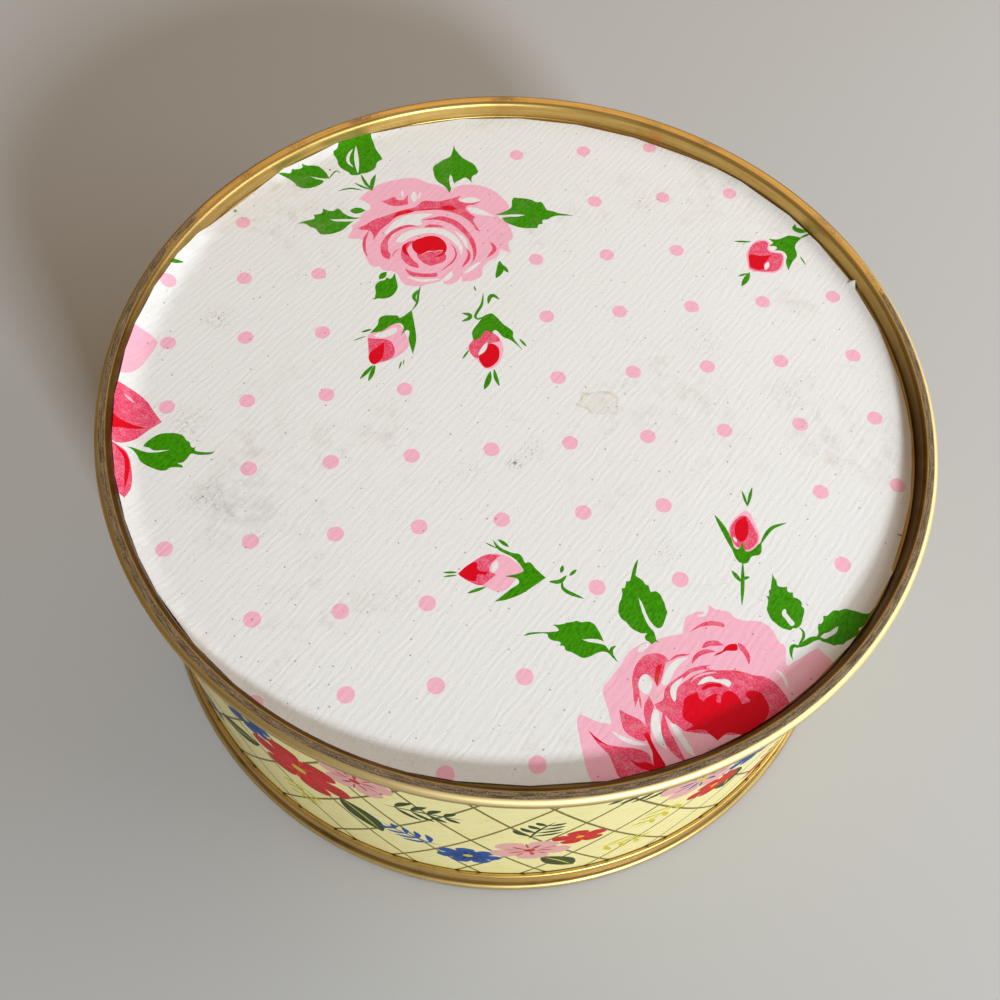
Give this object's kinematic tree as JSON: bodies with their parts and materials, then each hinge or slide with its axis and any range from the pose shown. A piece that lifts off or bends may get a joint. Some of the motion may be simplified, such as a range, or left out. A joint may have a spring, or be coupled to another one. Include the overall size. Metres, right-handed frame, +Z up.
{
  "type": "candy tin",
  "caption": "Round sheet-metal candy tin standing upside down on its slip lid, with a double-seamed recessed base on top and a printed disc stuck in the recess.",
  "frame": {"origin": "centre of the lid's foot ring, on the table, on the tin's axis", "axes": "+Z up along the tin's axis, from the lid underneath to the base on top; -Y is the side that faced the viewer"},
  "size_m": [0.1787, 0.1786, 0.081],
  "materials": {
    "lid_tinplate": "gold lacquer over tinplate, worn bare on the bead",
    "printed_tinplate": "cream printed tinplate with an olive trellis and flower sprays",
    "gold_lacquer": "gold lacquer over tinplate, worn grey on the crown",
    "printed_paper": "embossed self-adhesive vinyl paper printed with roses and dots"
  },
  "bodies": {
    "lid": {"lid": "lid_tinplate"},
    "tin": {"tin_wall": "printed_tinplate", "tin_base": "gold_lacquer", "paper_disc": "printed_paper"}
  },
  "joints": [
    {"name": "lift_off", "type": "slide", "parent": "lid", "child": "tin", "axis": [0, 0, 1], "range_m": [0, 0.1]}
  ]
}
